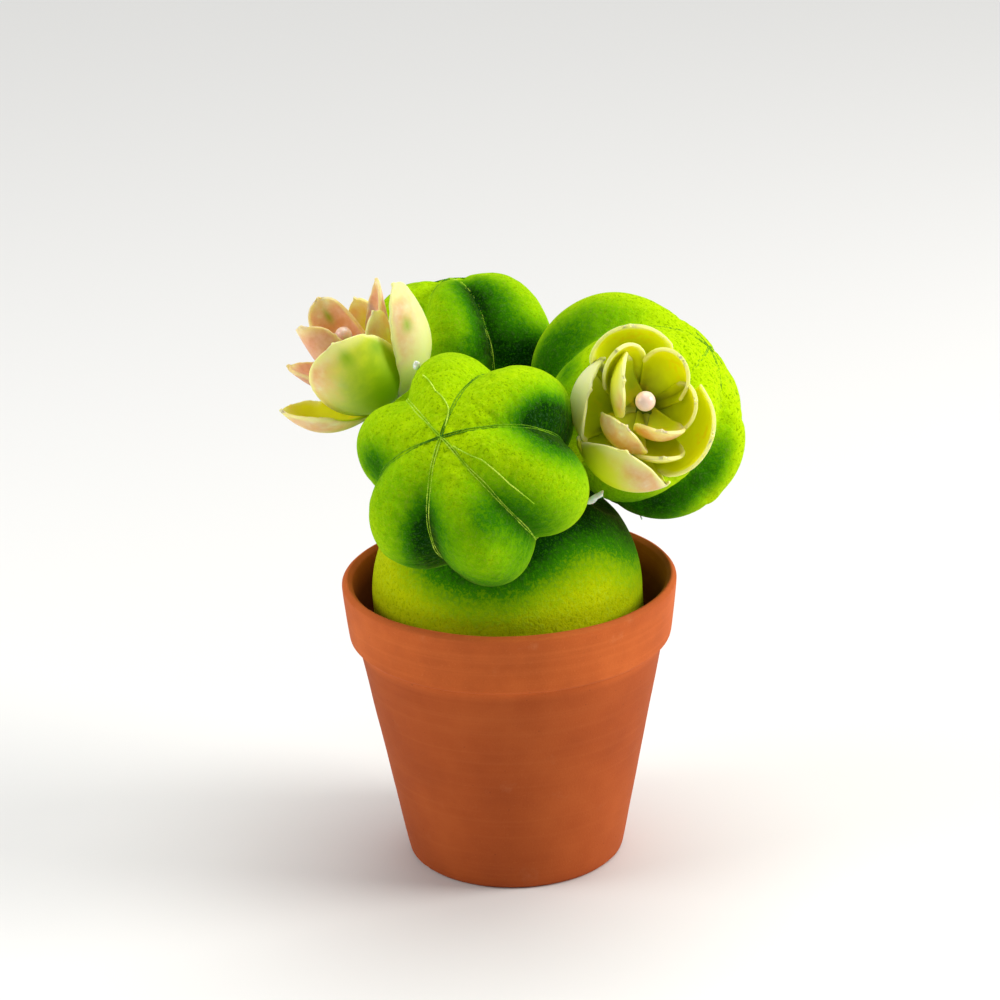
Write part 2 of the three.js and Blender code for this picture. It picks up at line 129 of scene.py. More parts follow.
POT_HEIGHT = 64
RIM_RADIUS = 36
RIM_INNER_RADIUS = 33.8
COLLAR_FOOT = 50.3
WALL_STEP = (29.9, 49)
FLOOR_EDGE = (21.3, 5)
HOLE_RADIUS = 5
POT_SIDES = 96
POT_PROFILE = (
    (HOLE_RADIUS, 0), (22.7, 0), (23.5, 0.8), (25.1, 9), (27.4, 21), (29.7, 33), (32, 45),
    (33, COLLAR_FOOT), (34.0, COLLAR_FOOT), (34.7, 51), (35.1, 54.5), (35.6, 59),
    (RIM_RADIUS, POT_HEIGHT - 1), (RIM_RADIUS - 1, POT_HEIGHT),
    (RIM_INNER_RADIUS + 0.9, POT_HEIGHT - 0.2), (RIM_INNER_RADIUS, POT_HEIGHT - 1),
    (32.9, 58), (31.6, 52), WALL_STEP, (27.2, 35), (24, 19.5),
    FLOOR_EDGE, (HOLE_RADIUS, FLOOR_EDGE[1]), (HOLE_RADIUS, 0),
)
MERGE_WITHIN = 0.001
POT_ROUNDING = 0.45
POT_CORNER_ANGLE = 25
POT_UNEVENNESS = 0.35
POT_DENT_SIZE = 22
# Painted shade inside the pot: how far below the rim it deepens fully, and how far a face must
# lean inward to get it.
INSIDE_SHADE_DEPTH = 6
INSIDE_SHADE_LEAN = -0.2
CLAY = ((0.46, 0.088, 0.014), (0.56, 0.112, 0.018), (0.66, 0.145, 0.026))
TURNING_LINES = (0.72, 0.18, 0.04)
LIGHT_GRAINS = (0.78, 0.26, 0.08)
DARK_GRAINS = (0.30, 0.05, 0.008)
CLAY_DUST = (0.78, 0.36, 0.17)
CLAY_SPECKS = (0.16, 0.04, 0.012)
PAINTED_SHADE_BELOW_COLLAR = (0.24, 0.034, 0.004)
PAINTED_SHADE_INSIDE = (0.10, 0.014, 0.002)


def select_only(piece):
    """Leaves one object selected and active."""
    bpy.ops.object.select_all(action="DESELECT")
    piece.select_set(True)
    bpy.context.view_layer.objects.active = piece


def add_modifier(piece, kind, **settings):
    """Adds a modifier with its settings and applies it."""
    select_only(piece)
    modifier = piece.modifiers.new(kind.title(), kind)
    for name, value in settings.items():
        setattr(modifier, name, value)
    bpy.ops.object.modifier_apply(modifier=modifier.name)


def settle(piece, name):
    """Names a finished piece and puts its place into its mesh."""
    select_only(piece)
    bpy.ops.object.transform_apply(location=True, rotation=True, scale=True)
    piece.name = name
    piece.data.name = name
    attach(piece, "root")


bpy.ops.object.select_all(action="DESELECT")
bpy.ops.mesh.primitive_circle_add(
    vertices=POT_SIDES, radius=POT_PROFILE[0][0] * MM, location=from_pot(0, 0, POT_PROFILE[0][1])
)
pot = bpy.context.object
bpy.ops.object.mode_set(mode="EDIT")
bpy.ops.mesh.select_all(action="SELECT")
for (radius, height), (next_radius, next_height) in zip(POT_PROFILE, POT_PROFILE[1:]):
    rise = (0, 0, (next_height - height) * MM)
    bpy.ops.mesh.extrude_region_move(TRANSFORM_OT_translate={"value": rise})
    spread = next_radius / radius
    middle = from_pot(0, 0, next_height)
    bpy.ops.transform.resize(value=(spread, spread, 1), center_override=middle)
bpy.ops.mesh.select_all(action="SELECT")
bpy.ops.mesh.remove_doubles(threshold=MERGE_WITHIN * MM)
bpy.ops.mesh.normals_make_consistent(inside=False)
bpy.ops.object.mode_set(mode="OBJECT")
add_modifier(
    pot, "BEVEL", width=POT_ROUNDING * MM, segments=2, limit_method="ANGLE",
    angle_limit=math.radians(POT_CORNER_ANGLE),
)
add_modifier(pot, "SUBSURF", levels=2, render_levels=2)
hand_turned = bpy.data.textures.new("hand_turned", "CLOUDS")
hand_turned.noise_scale = POT_DENT_SIZE * MM
add_modifier(pot, "DISPLACE", texture=hand_turned, strength=POT_UNEVENNESS * MM, mid_level=0.5)
for vertex in pot.data.vertices:
    vertex.co.z = max(vertex.co.z, -pot.location.z)
# Painted shade: a mask that darkens the inside wall more the further it lies below the rim.
inside = pot.data.attributes.new("inside", "FLOAT", "POINT")
for vertex in pot.data.vertices:
    outward = Vector((vertex.co.x, vertex.co.y, 0)).normalized()
    deep = (POT_HEIGHT * MM - pot.location.z - vertex.co.z) / (INSIDE_SHADE_DEPTH * MM)
    faces_in = vertex.normal.dot(outward) < INSIDE_SHADE_LEAN
    inside.data[vertex.index].value = min(1, deep) * faces_in
pot.data.shade_smooth()
settle(pot, "clay_pot")
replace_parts(pot, "pot")


class Wire:
    """A socket of a material's nodes. Sums on wires add Math nodes."""

    def __init__(self, tree, socket=None):
        self.tree = tree
        self.socket = socket

    def node(self, kind, settings, sockets, output=0):
        """Adds a node of any kind: its settings first, then the values or wires of its sockets."""
        node = self.tree.nodes.new("ShaderNode" + kind)
        for name, value in settings.items():
            if name == "stops":
                elements = node.color_ramp.elements
                while len(elements) < len(value):
                    elements.new(1)
                for element, (position, colour) in zip(elements, value):
                    element.position = position
                    element.color = (*colour, 1)
            else:
                setattr(node, name, value)
        for name, value in sockets.items():
            if isinstance(value, Wire):
                self.tree.links.new(value.socket, node.inputs[name])
            else:
                node.inputs[name].default_value = value
        return Wire(self.tree, node.outputs[output])

    def maths(self, operation, *values):
        """Adds a Math node on wires and numbers."""
        return self.node("Math", {"operation": operation}, dict(enumerate(values)))

    def __add__(self, other):
        return self.maths("ADD", self, other)

    __radd__ = __add__

    def __sub__(self, other):
        return self.maths("SUBTRACT", self, other)

    def __rsub__(self, other):
        return self.maths("SUBTRACT", other, self)

    def __mul__(self, other):
        return self.maths("MULTIPLY", self, other)

    __rmul__ = __mul__

    def between(self, low, high):
        """A smooth step: 0 below low, 1 above high."""
        settings = {"interpolation_type": "SMOOTHSTEP"}
        return self.node("MapRange", settings, {"Value": self, "From Min": low, "From Max": high})

    def over(self, below, colour):
        """Lays a colour over another, as strongly as this wire says."""
        settings = {"data_type": "RGBA", "clamp_factor": True}
        below, colour = (c if isinstance(c, Wire) else (*c, 1) for c in (below, colour))
        return self.node("Mix", settings, {0: self, 6: below, 7: colour}, output=2)

    def ramp(self, *stops):
        """Turns a number into a colour, from places and colours."""
        return self.node("ValToRGB", {"stops": stops}, {"Fac": self})

    def noise(self, place, scale, detail, roughness):
        """A soft random number from 0 to 1 over a place."""
        sockets = {"Vector": place, "Scale": scale, "Detail": detail, "Roughness": roughness}
        return self.node("TexNoise", {}, sockets)

    def place(self, stretch=(1, 1, 1)):
        """The place on the piece, in metres, stretched along its axes."""
        coordinates = self.node("TexCoord", {}, {}, "Object")
        return self.node("Mapping", {}, {"Vector": coordinates, "Scale": stretch})

    def attribute(self, name):
        """A number that the mesh carries."""
        return self.node("Attribute", {"attribute_name": name}, {}, "Fac")

    def bump(self, height, strength, depth):
        """A normal that follows a height, whose full depth is in millimetres."""
        sockets = {"Height": height, "Strength": strength, "Distance": depth * MM}
        return self.node("Bump", {}, sockets)


def new_finish(name, **fixed):
    """A material with its fixed values set, a wire to build on, and what joins wires to it."""
    material = bpy.data.materials.new(name)
    material.use_nodes = True
    tree = material.node_tree
    shader = tree.nodes["Principled BSDF"]
    for socket, value in fixed.items():
        shader.inputs[socket.replace("_", " ")].default_value = value

    def paint(**wires):
        for socket, wire in wires.items():
            tree.links.new(wire.socket, shader.inputs[socket.replace("_", " ")])

    return material, Wire(tree), paint


def terracotta():
    """Fired clay: grain, turning lines, dust and specks, with painted shade inside the rim and
    below the collar.
    """
    material, wire, paint = new_finish("terracotta", Specular_IOR_Level=0.2)
    place = wire.place()
    blotches = wire.noise(place, 45, 4, 0.6)
    grain = wire.noise(place, 2600, 2, 0.7)
    lines = wire.noise(wire.place((14, 14, 900)), 1, 3, 0.6)
    colour = blotches.ramp(*zip((0.3, 0.5, 0.72), CLAY))
    colour = (lines.between(0.45, 0.8) * 0.25).over(colour, TURNING_LINES)
    colour = (grain.between(0.55, 0.85) * 0.3).over(colour, LIGHT_GRAINS)
    colour = (grain.between(0.42, 0.2) * 0.3).over(colour, DARK_GRAINS)
    dust = wire.noise(place, 140, 5, 0.65).between(0.6, 0.82) * 0.22
    colour = dust.over(colour, CLAY_DUST)
    specks = wire.node("TexVoronoi", {"feature": "F1"}, {"Vector": place, "Scale": 260})
    colour = (specks.between(0.07, 0.03) * 0.4).over(colour, CLAY_SPECKS)
    height = wire.node("SeparateXYZ", {}, {"Vector": place}, "Z")
    # Painted shade on the body below the collar, where the collar shades it.
    below = height.between(COLLAR_FOOT * MM, (COLLAR_FOOT - 3) * MM)
    colour = (below * 0.42).over(colour, PAINTED_SHADE_BELOW_COLLAR)
    # Painted shade on the inside wall, below the rim.
    colour = (wire.attribute("inside") * 0.8).over(colour, PAINTED_SHADE_INSIDE)
    relief = lines * 0.3 + grain * 0.35 + blotches * 0.3
    paint(
        Base_Color=colour,
        Roughness=0.66 + 0.2 * grain + 0.1 * dust,
        Normal=wire.bump(relief, 0.4, 0.3),
    )
    return material


pot.data.materials.append(terracotta())

# Tied balls: three alike balls of flocked green cloth, stuffed hard and tied with three loops
# of thread that cross at both poles, so that each has six lobes. A peg holds each on the mound.

LOBES = 6
COLUMNS = 24
ROWS = 96
# Spray paint and painted shade along the creases, and painted shade where a ball comes near
# another ball or the mound, with how far each spreads.
CREASE_SPRAY_AND_SHADE = 0.06
CREASE_SPRAY_AND_SHADE_WIDTH = 6
TOUCH_SHADE = 0.75
TOUCH_SHADE_SPREAD = 4.5
SLACK = 0.025
SIM_SCALE = 16
SIM_STEPS = 14
MOST_SWELL = 1.2
CLOTH_GROWTH = 0.045
CLOTH_SETTINGS = {
    "quality": 6, "mass": 0.15, "tension_stiffness": 15, "compression_stiffness": 15,
    "shear_stiffness": 5, "bending_stiffness": 0.5, "shrink_min": -CLOTH_GROWTH,
    "use_pressure": True, "uniform_pressure_force": 4, "vertex_group_mass": "held",
}
# The greens that the cloth darkens to, and the colours of its fibre tips, under spray paint and
# painted shade.
SPRAY_AND_SHADE_GREEN = (0.032, 0.19, 0.0002)
SPRAY_AND_SHADE_DARK = (0.002, 0.035, 0.0004)
SPRAYED_AND_SHADED_TIPS = ((0.12, 0.34, 0.02), (0.035, 0.12, 0.03))
FIBRE_GAPS = (0.03, 0.16, 0.0004)


def ways_aside(along):
    """Two ways at right angles to a line and to each other."""
    first = Vector((1, 0, 0))
    first = (first - along * along.dot(first)).normalized()
    return first, along.cross(first)


def turned_past(turn, other):
    """How many degrees a turn in radians is past another in degrees, from -180 to 180."""
    return (math.degrees(turn) - other + 180) % 360 - 180


class Ball:
    """A tied ball: its middle, the line through its poles and the turns of its creases."""

    def __init__(self, centre, axis, radius, depth, cap, creases, shade_all_over, sprayed_and_shaded):
        self.centre = from_pot(*centre)
        self.along = Vector(axis).normalized()
        self.first, self.second = ways_aside(self.along)
        self.radius = radius * MM
        self.depth = depth
        self.cap_width, self.cap_edge = cap
        self.creases = creases
        self.shade_all_over = shade_all_over
        self.sprayed_and_shaded = sprayed_and_shaded

    def reach(self, from_pole, share):
        """How far the cloth is from the middle, at a share of the way from crease to crease."""
        to_pole = min(from_pole, math.pi - from_pole)
        cap = math.exp(-((to_pole / math.radians(self.cap_width)) ** self.cap_edge))
        return self.radius * (1 - self.depth * (1 - math.sin(math.pi * share) * (1 - cap)))

    def point(self, from_pole, turn, reach):
        """A place on or over the ball."""
        sideways = self.first * math.cos(turn) + self.second * math.sin(turn)
        way = self.along * math.cos(from_pole) + sideways * math.sin(from_pole)
        return self.centre + reach * way

    def span(self, lobe):
        """The turn at which a lobe starts, and its width, in radians."""
        start = self.creases[lobe]
        return math.radians(start), math.radians((self.creases[(lobe + 1) % LOBES] - start) % 360)

    def spray(self, from_pole, turn):
        """How dark the spray paint and painted shade are, from the shade all over, the spots and
        the creases.
        """
        dark = self.shade_all_over
        for spot_turn, spot_pole, wide, high, strength in self.sprayed_and_shaded:
            apart = turned_past(turn, spot_turn)
            below = math.degrees(from_pole) - spot_pole
            dark += strength * math.exp(-((apart / wide) ** 2) - (below / high) ** 2)
        for crease in self.creases:
            apart = turned_past(turn, crease) / CREASE_SPRAY_AND_SHADE_WIDTH
            dark += CREASE_SPRAY_AND_SHADE * math.exp(-(apart ** 2)) * math.sin(from_pole) ** 3
        return dark


# Each ball: its middle, the way its pole points, its radius, how deep the threads draw it in, how
# wide and how sharp-edged the drawn-in cap round each pole is, the turns of its creases, and the
# painted shade it has all over, lighter below zero. Then the spots of spray paint and painted
# shade: turn, distance from the pole, half widths in both, and strength.
BALLS = {
    "front": Ball(
        (-6.9, -31, 99.4), (-0.312, -0.716, 0.624), 24.9, 0.235, (50, 2.4),
        (10, 71, 128, 189, 248.5, 307.5), 0.11,
        (
            # The first spot, of negative strength, is a painted highlight round the pole.
            (0, 0, 180, 26, -0.14), (12, 70, 15, 26, 1.17), (352, 65, 9, 26, 0.34),
            (183, 57, 14, 18, 0.62), (12, 84, 12, 22, 0.75),
            (245, 66, 12, 29, 0.9), (257, 102, 32, 20, 0.89), (291, 53, 13, 14, 0.42),
            (310, 76, 16, 37, 0.59), (221, 42, 23, 22, 0.17), (261, 53, 14, 25, 0.39),
        ),
    ),
    "right": Ball(
        (28.6, 4.7, 99.3), (0.751, -0.036, 0.659), 25.8, 0.235, (53.5, 3.2),
        (359, 56, 126, 194.5, 259, 309), -0.13,
        (
            (184, 110, 17, 60, 0.86), (316, 80, 10, 30, 0.82), (313, 118, 40, 20, 0.84),
            (70, 88, 12, 28, 0.8), (124, 95, 10, 24, 0.5), (22, 90, 9, 26, 0.7),
            (213, 96, 11, 10, 0.64), (351, 73, 14, 22, 0.3),
        ),
    ),
    "back": Ball(
        (-9.2, 30.3, 102.3), (-0.103, 0.261, 0.96), 23, 0.23, (35, 2.4),
        (0, 64, 114, 179, 244, 293), 0.14,
        (
            (306, 96, 13, 33, 0.72), (292, 40, 23, 24, 0.74), (289, 76, 11, 30, 0.52),
            (276, 83, 17, 10, 0.34), (60, 88, 14, 28, 0.9), (183, 88, 9, 26, 0.79),
            (128, 85, 12, 26, 0.7),
        ),
    ),
}
MOUND_CENTRE = (-0.5, -1.2, 60.8)
MOUND_RADIUS = 29


def nearness(place, other, spread=TOUCH_SHADE_SPREAD):
    """1 where another ball touches, or the mound if it is None, and 0 well beyond a spread."""
    if other is None:
        gap = (place - from_pot(*MOUND_CENTRE)).length - MOUND_RADIUS * MM
    else:
        gap = (place - other.centre).length - other.radius * (1 - other.depth / 3)
    return math.exp(-((max(gap, 0) / (spread * MM)) ** 2))


def flocked_cloth(name, crown, middle, pale, speckle):
    """Short green pile: lime on the crowns, darkened by spray paint and painted shade in the
    creases and where parts touch, speckled by fibres.
    """
    material, wire, paint = new_finish(
        name, Roughness=1, Specular_IOR_Level=0.03, Sheen_Weight=0.15, Sheen_Roughness=0.4,
        Sheen_Tint=(0.75, 1, 0.05, 1),
    )
    place = wire.place()
    patches = wire.noise(place, 130, 3, 0.6)
    tufts = wire.noise(place, 700, 2, 0.6)
    fibres = wire.noise(place, 1500, 2, 0.75)
    grain = (fibres - 0.5) * 1.05 + (tufts - 0.5) * 0.3
    sprayed_and_shaded = wire.attribute("spray") + 0.25 * (patches - 0.5)
    # Spray paint and painted shade: the mesh's number runs the colour from lime down to dark
    # green.
    colour = (sprayed_and_shaded + grain).ramp(
        (0.0, crown), (0.3, middle), (0.62, SPRAY_AND_SHADE_GREEN), (1.0, SPRAY_AND_SHADE_DARK),
    )
    tips = sprayed_and_shaded.ramp((0.1, pale), (0.55, SPRAYED_AND_SHADED_TIPS[0]), (1.0, SPRAYED_AND_SHADED_TIPS[1]))
    colour = (fibres.between(0.53, 0.64) * speckle).over(colour, tips)
    colour = (fibres.between(0.46, 0.36) * speckle).over(colour, FIBRE_GAPS)
    paint(Base_Color=colour, Normal=wire.bump(fibres * 0.6 + tufts * 0.5, 0.7, 0.4))
    return material


green_cloth = flocked_cloth(
    "flocked_cloth", crown=(0.42, 0.66, 0.0002), middle=(0.19, 0.46, 0.0002),
    pale=(0.60, 0.80, 0.01), speckle=0.52,
)


def in_order(mesh):
    """Rebuilds a sphere with its faces in a fixed order, so that its cloth always moves alike."""
    spread = mesh.uv_layers.active.data
    faces = []
    for face in mesh.polygons:
        corners = [(mesh.loops[i].vertex_index, tuple(spread[i].uv)) for i in face.loop_indices]
        lowest = corners.index(min(corners))
        faces.append(corners[lowest:] + corners[:lowest])
    ordered = bmesh.new()
    spread = ordered.loops.layers.uv.new("UVMap")
    points = [ordered.verts.new(vertex.co) for vertex in mesh.vertices]
    for face in sorted(faces):
        new_face = ordered.faces.new([points[point] for point, _ in face])
        for corner, (_, place) in zip(new_face.loops, face):
            corner[spread].uv = place
    ordered.to_mesh(mesh)
    ordered.free()


def stuffed(piece, held):
    """Lets the cloth grow and fill out between the points that are held, then fixes its shape."""
    mesh = piece.data
    start = [vertex.co.copy() for vertex in mesh.vertices]
    middle = sum(start, Vector()) / len(start)
    for vertex in mesh.vertices:
        vertex.co = (vertex.co - middle) * SIM_SCALE
    select_only(piece)
    group = piece.vertex_groups.new(name="held")
    group.add(held, 1, "REPLACE")
    cloth = piece.modifiers.new("Stuffing", "CLOTH")
    for setting, value in CLOTH_SETTINGS.items():
        setattr(cloth.settings, setting, value)
    cloth.settings.effector_weights.gravity = 0
    cloth.collision_settings.use_collision = False
    cloth.point_cache.frame_end = SIM_STEPS
    for step in range(1, SIM_STEPS + 1):
        bpy.context.scene.frame_set(step)
    bpy.ops.object.modifier_apply(modifier=cloth.name)
    bpy.context.scene.frame_set(1)
    piece.vertex_groups.clear()
    for vertex, place in zip(piece.data.vertices, start):
        swell = vertex.co / SIM_SCALE + middle - place
        if swell.length > MOST_SWELL * MM:
            swell *= MOST_SWELL * MM / swell.length
        vertex.co = place + swell


def tied_cloth(name, ball):
    """The cloth of a ball, a sphere drawn in along its creases and stuffed."""
    bpy.ops.object.select_all(action="DESELECT")
    bpy.ops.mesh.primitive_uv_sphere_add(segments=LOBES * COLUMNS, ring_count=ROWS, radius=1)
    piece = bpy.context.object
    in_order(piece.data)
    spray = piece.data.attributes.new("spray", "FLOAT", "POINT")
    held = []
    neighbours = [other for other in (None, *BALLS.values()) if other is not ball]
    for vertex in piece.data.vertices:
        from_pole = math.acos(max(-1, min(1, vertex.co.z)))
        column = round(math.atan2(vertex.co.y, vertex.co.x) / math.tau * LOBES * COLUMNS)
        lobe, step = divmod(column % (LOBES * COLUMNS), COLUMNS)
        start, width = ball.span(lobe)
        share = step / COLUMNS
        turn = start + width * share
        slack = SLACK * ball.radius * math.sin(math.pi * share) * math.sin(from_pole)
        vertex.co = ball.point(from_pole, turn, ball.reach(from_pole, share) - slack)
        # Painted shade where this ball comes near another ball or the mound.
        near = max(nearness(vertex.co, other) for other in neighbours)
        spray.data[vertex.index].value = ball.spray(from_pole, turn) + TOUCH_SHADE * near
        if step == 0:
            held.append(vertex.index)
    stuffed(piece, held)
    add_modifier(piece, "SUBSURF", levels=1, render_levels=1)
    piece.data.shade_smooth()
    piece.data.materials.append(green_cloth)
    settle(piece, name)
    return piece


for side, ball in BALLS.items():
    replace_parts(tied_cloth("cloth_ball_" + side, ball), "head_" + side)

# Threads: green sewing thread of two plies, wound twice round each ball and pulled tight, so
# that the pair of strands sinks into each crease and crosses the others at both poles.

PLY_RADIUS = 0.085
PLY_TWIST = 0.8
# How far the thread lies above the crease, and the creases, by turn, whose thread is pale; in the
# other creases the thread is a darker copy, painted shade.
THREAD_LIFTS = {"front": 0.1, "right": -0.04, "back": 0.07}
PALE_CREASES = {"front": (128, 248.5, 307.5), "right": (), "back": (293,)}
THREAD_STEPS = 240
STRAND_GAP = 0.24
STRAND_WANDER = 0.3
WANDER_RATE = 3
CREASE_SLOPE = 0.6
POLE_LIMIT = 0.03
LOOSE_LIFT = 0.25
LOOSE_STEPS = 24
# Strands that lie loose over a ball: distance from the pole and turn, from place to place.
LOOSE_STRANDS = {
    "front": (
        ((7, 66), (18.8, 75.4), (30.5, 96.9), (46.9, 107.6)),
        ((10, 318), (28.4, 325.1), (47.8, 321), (66.8, 320.5)),
    ),
}


def sewing_thread(name, dull, bright):
    """Twisted thread, a little shiny, lighter and darker in patches."""
    material, wire, paint = new_finish(name, Roughness=0.6, Specular_IOR_Level=0.15)
    fluff = wire.noise(wire.place(), 1800, 3, 0.7)
    faded = wire.noise(wire.place(), 140, 2, 0.5)
    colour = (fluff + 1.1 * (faded - 0.5)).ramp((0.35, dull), (0.7, bright))
    paint(Base_Color=colour, Normal=wire.bump(fluff, 0.4, 0.2))
    return material


pale_thread = sewing_thread("pale_thread", (0.30, 0.58, 0.004), (0.72, 0.94, 0.10))
# A darker copy of the same thread, as painted shade for the creases where it lies in shadow.
shaded_thread = sewing_thread("shaded_thread", (0.05, 0.20, 0.001), (0.24, 0.50, 0.002))


def twisted(lines, name, ply_radius):
    """Two-ply thread along several lines: each a finish, and points with their way out."""
    curve = bpy.data.curves.new(name, "CURVE")
    curve.dimensions = "3D"
    curve.bevel_depth = ply_radius
    curve.bevel_resolution = 1
    curve.use_fill_caps = True
    finishes = (pale_thread, shaded_thread)
    for finish in finishes:
        curve.materials.append(finish)
    for finish, line in lines:
        travelled = [0]
        for (start, _), (end, _) in zip(line, line[1:]):
            travelled.append(travelled[-1] + (end - start).length)
        for ply in (0, math.pi):
            spline = curve.splines.new("POLY")
            spline.material_index = finishes.index(finish)
            spline.points.add(len(line) - 1)
            for index, (place, out) in enumerate(line):
                ahead = line[min(index + 1, len(line) - 1)][0] - line[max(index - 1, 0)][0]
                beside = ahead.cross(out).normalized()
                twist = travelled[index] / (PLY_TWIST * MM) * math.tau + ply
                aside = (out * math.cos(twist) + beside * math.sin(twist)) * ply_radius
                spline.points[index].co = (*(place + aside), 1)
    piece = bpy.data.objects.new(name, curve)
    bpy.context.collection.objects.link(piece)
    select_only(piece)
    bpy.ops.object.convert(target="MESH")
    piece = bpy.context.object
    piece.data.shade_smooth()
    settle(piece, name)
    return piece


def crease_line(ball, degrees, side, lift):
    """The line that a strand takes beside a crease, from pole to pole."""
    line = []
    for step in range(THREAD_STEPS + 1):
        from_pole = math.pi * step / THREAD_STEPS
        wander = noise.noise(Vector((from_pole * WANDER_RATE, degrees, side)))
        aside = side * STRAND_GAP + wander * STRAND_WANDER
        steep = CREASE_SLOPE * abs(aside) * math.sin(from_pole) ** 4
        reach = ball.reach(from_pole, 0) + (lift + steep) * MM
        girth = reach * max(POLE_LIMIT, math.sin(from_pole))
        turn = math.radians(degrees) + aside * MM / girth
        place = ball.point(from_pole, turn, reach)
        line.append((place, (place - ball.centre).normalized()))
    return line


def loose_line(ball, stations):
    """A strand that lies over a lobe, through places given as distance from the pole and turn."""
    line = []
    for (pole, turn), (next_pole, next_turn) in zip(stations, stations[1:]):
        for step in range(LOOSE_STEPS):
            share = step / LOOSE_STEPS
            from_pole = math.radians(pole + (next_pole - pole) * share)
            degrees = turn + (next_turn - turn) * share
            lobe = max(range(LOBES), key=lambda i: -((degrees - ball.creases[i]) % 360))
            across = (degrees - ball.creases[lobe]) % 360 / math.degrees(ball.span(lobe)[1])
            reach = ball.reach(from_pole, across) + LOOSE_LIFT * MM
            place = ball.point(from_pole, math.radians(degrees), reach)
            line.append((place, (place - ball.centre).normalized()))
    return line


for side, ball in BALLS.items():
    strands = []
    for turn in ball.creases:
        finish = pale_thread if turn in PALE_CREASES[side] else shaded_thread
        for edge in (-1, 1):
            strands.append((finish, crease_line(ball, turn, edge, THREAD_LIFTS[side])))
    for stations in LOOSE_STRANDS.get(side, ()):
        strands.append((pale_thread, loose_line(ball, stations)))
    threads = twisted(strands, "threads_" + side, PLY_RADIUS * MM)
    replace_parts(threads, f"head_{side}_threads")

# Mound: a bigger ball of the same cloth, pressed into the pot so that it fills it and domes out,
# with a hollow where each tied ball is pressed on it.

MOUND_RISE = 28.2
MOUND_TONE = -0.05
# Spray paint and painted shade on the mound: how strong it is where each ball sits, and how far it
# spreads from each.
MOUND_SPRAY_AND_SHADE = 1.02
MOUND_SHADE_SPREADS = {"front": 9.5, "right": 12.5, "back": 9}
MOUND_FLOOR = 5.5
MOUND_FOOT_START = 1.25
MOUND_FOOT_ROUNDING = 4
MOUND_WALL = 0.5
SEAT_DEPTH = 1.2


def pot_room(height):
    """How far the cloth may reach from the pot's axis at a height, both in millimetres."""
    step_radius, step_height = WALL_STEP
    floor_radius, floor_height = FLOOR_EDGE
    if height > step_height:
        return step_radius
    wall_height = step_height - floor_height
    widening = (step_radius - floor_radius) * (height - floor_height) / wall_height
    return floor_radius + widening - MOUND_WALL


bpy.ops.object.select_all(action="DESELECT")
bpy.ops.mesh.primitive_uv_sphere_add(segments=144, ring_count=96, radius=1)
mound = bpy.context.object
mound_spray_and_shade = mound.data.attributes.new("spray", "FLOAT", "POINT")
for vertex in mound.data.vertices:
    x, y, z = vertex.co
    if z >= 0:
        place = Vector((x * MOUND_RADIUS, y * MOUND_RADIUS, z * MOUND_RISE)) + Vector(MOUND_CENTRE)
    else:
        share = math.acos(max(-1, min(1, -z))) / (math.pi / 2)
        sunk = min(1, MOUND_FOOT_START * (1 - share))
        height = MOUND_CENTRE[2] + (MOUND_FLOOR - MOUND_CENTRE[2]) * sunk
        sideways = Vector((x, y)).normalized() if share else Vector((0, 0))
        reach = min(MOUND_RADIUS, pot_room(height)) * min(1, share * MOUND_FOOT_ROUNDING)
        centring = max(0, (height - WALL_STEP[1]) / (MOUND_CENTRE[2] - WALL_STEP[1]))
        place = Vector((
            sideways.x * reach + MOUND_CENTRE[0] * centring,
            sideways.y * reach + MOUND_CENTRE[1] * centring,
            height,
        ))
    place = from_pot(*place)
    for ball in BALLS.values():
        apart = place - ball.centre
        seat = ball.radius * (1 - ball.depth / 2) + SEAT_DEPTH * MM
        if apart.length < seat:
            place = ball.centre + apart.normalized() * seat
    vertex.co = place
    # Painted shade and spray paint, darkest where the balls sit on the mound.
    near = sum(nearness(place, BALLS[side], spread) for side, spread in MOUND_SHADE_SPREADS.items())
    mound_spray_and_shade.data[vertex.index].value = MOUND_TONE + MOUND_SPRAY_AND_SHADE * near
add_modifier(mound, "SUBSURF", levels=1, render_levels=1)
mound.data.shade_smooth()
mound.data.materials.append(flocked_cloth(
    "mound_cloth", crown=(0.50, 0.58, 0.0004), middle=(0.25, 0.43, 0.0003),
    pale=(0.72, 0.78, 0.03), speckle=0.36,
))
settle(mound, "cloth_mound")
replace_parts(mound, "base_mound")

# Pegs: plain round pegs of grey card or wood, one to each ball. They are pushed into the ball
# beside its lower pole and on into the mound, and only short lengths show between the two.

PEG_RADIUS = 1.4
PEG_ROUNDING = 0.25
PEG_LEAN = 16
PEG_START = 8
PEG_END = 38
PEG_SUNK = 4
PEG_TURNS = {"front": 220, "right": 287, "back": 30}


def peg_finish():
    """Grey card or wood, slightly fibrous."""
    material, wire, paint = new_finish("grey_peg", Roughness=0.7)
    fibre = wire.noise(wire.place(), 900, 3, 0.6)
    colour = fibre.ramp((0.3, (0.16, 0.14, 0.12)), (0.7, (0.30, 0.27, 0.23)))
    paint(Base_Color=colour, Normal=wire.bump(fibre, 0.4, 0.2))
    return material


